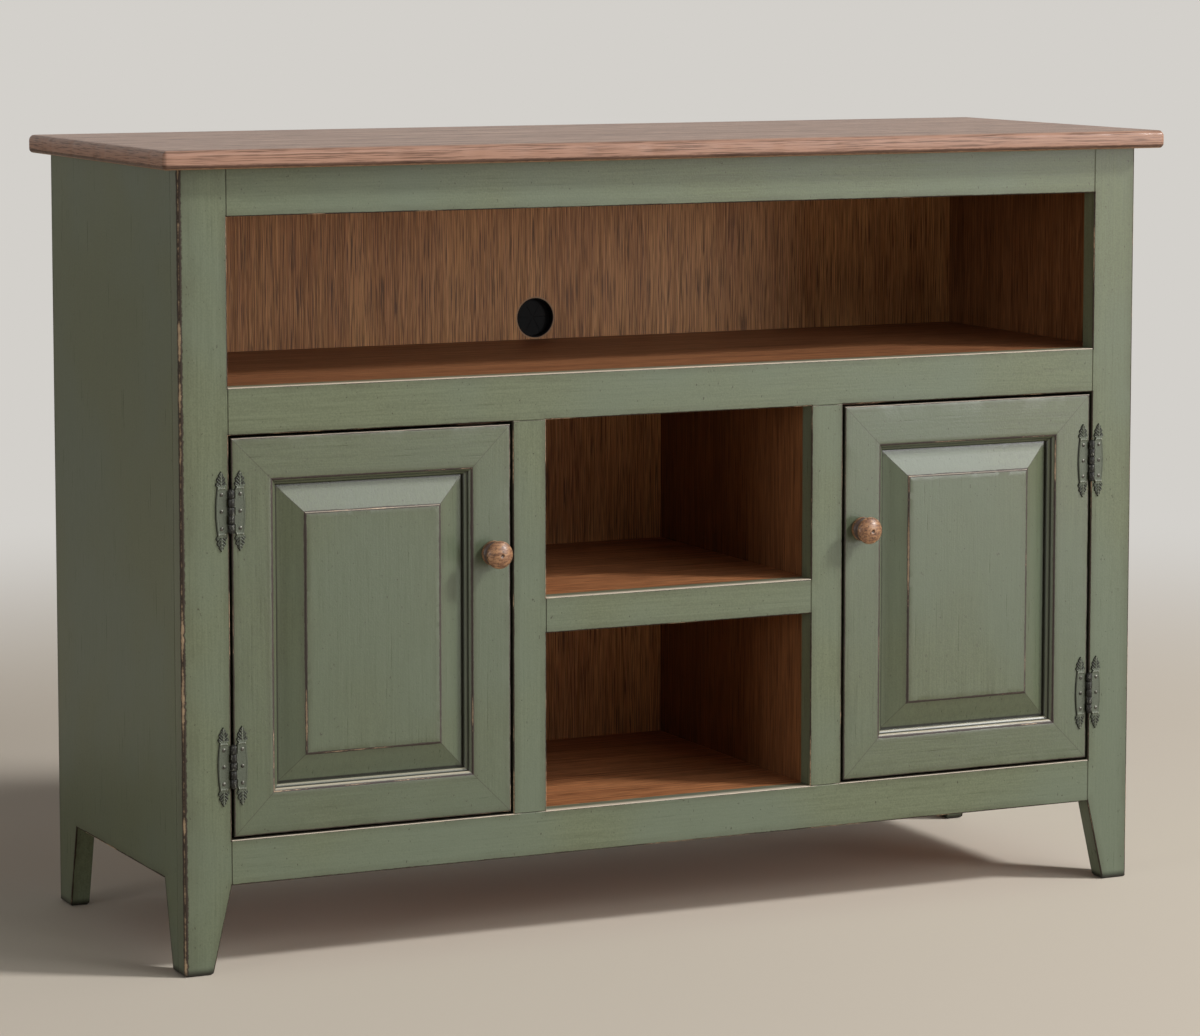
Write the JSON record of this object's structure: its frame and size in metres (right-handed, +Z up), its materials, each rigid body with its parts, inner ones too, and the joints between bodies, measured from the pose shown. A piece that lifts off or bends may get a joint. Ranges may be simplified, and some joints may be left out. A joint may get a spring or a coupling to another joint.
{
  "type": "media cabinet",
  "caption": "Free-standing painted wooden media cabinet with tapered legs, an overhanging brown top, a wide open bay, open cubbies and hinged raised-panel doors.",
  "frame": {"origin": "on the floor, under the middle of the whole cabinet", "axes": "+Z up, the doors face -Y, +X to the right of someone who faces the doors"},
  "size_m": [1.14, 0.422, 0.82],
  "materials": {
    "sage_paint": "satin sage-green paint over wood, rubbed through at the arrises, dark glaze in the recesses",
    "brown_top": "brown-stained wood with lengthwise grain, satin",
    "brown_interior": "brown-stained wood, matt",
    "turned_wood": "turned wood, mottled brown, satin lacquer",
    "hinge_metal": "pressed steel, antiqued grey-green with dark edges",
    "steel": "zinc-plated steel",
    "magnet": "nickel-plated magnet",
    "black_rubber": "matt black rubber"
  },
  "bodies": {
    "case": {"back_panel": "brown_interior", "back_panel_screws": "steel", "bottom_deck": "brown_interior", "bottom_rail": "sage_paint", "cable_grommet": "black_rubber", "catch_blocks": "brown_interior", "catch_magnets": "magnet", "center_rail": "sage_paint", "center_shelf": "brown_interior", "cleat_screws": "steel", "frame_leaf_screws": "steel", "grommet_membrane": "black_rubber", "hinge_pins": "hinge_metal", "left_cupboard_shelf": "brown_interior", "left_front_stile": "sage_paint", "left_lower_frame_leaf": "hinge_metal", "left_mullion": "sage_paint", "left_partition": "brown_interior", "left_side_panel": "sage_paint", "left_upper_frame_leaf": "hinge_metal", "middle_rail": "sage_paint", "rear_bottom_rail": "brown_interior", "rear_top_rail": "brown_interior", "right_cupboard_shelf": "brown_interior", "right_front_stile": "sage_paint", "right_lower_frame_leaf": "hinge_metal", "right_mullion": "sage_paint", "right_partition": "brown_interior", "right_side_panel": "sage_paint", "right_upper_frame_leaf": "hinge_metal", "shelf_pins": "steel", "top_board": "brown_top", "top_cleats": "brown_interior", "top_rail": "sage_paint", "upper_shelf": "brown_interior"},
    "left_door": {"left_door_bottom_rail": "sage_paint", "left_door_hinge_stile": "sage_paint", "left_door_leaf_screws": "steel", "left_door_lock_stile": "sage_paint", "left_door_panel": "sage_paint", "left_door_splines": "brown_interior", "left_door_top_rail": "sage_paint", "left_knob": "turned_wood", "left_knob_screw": "steel", "left_lower_door_leaf": "hinge_metal", "left_strike_plate": "steel", "left_upper_door_leaf": "hinge_metal"},
    "right_door": {"right_door_bottom_rail": "sage_paint", "right_door_hinge_stile": "sage_paint", "right_door_leaf_screws": "steel", "right_door_lock_stile": "sage_paint", "right_door_panel": "sage_paint", "right_door_splines": "brown_interior", "right_door_top_rail": "sage_paint", "right_knob": "turned_wood", "right_knob_screw": "steel", "right_lower_door_leaf": "hinge_metal", "right_strike_plate": "steel", "right_upper_door_leaf": "hinge_metal"}
  },
  "joints": [
    {"name": "left_door_hinge", "type": "hinge", "parent": "case", "child": "left_door", "pos_m": [-0.4955, -0.1882, 0.336], "axis": [0, 0, -1], "range_deg": [0, 170]},
    {"name": "right_door_hinge", "type": "hinge", "parent": "case", "child": "right_door", "pos_m": [0.4955, -0.1882, 0.336], "axis": [0, 0, 1], "range_deg": [0, 170]}
  ]
}
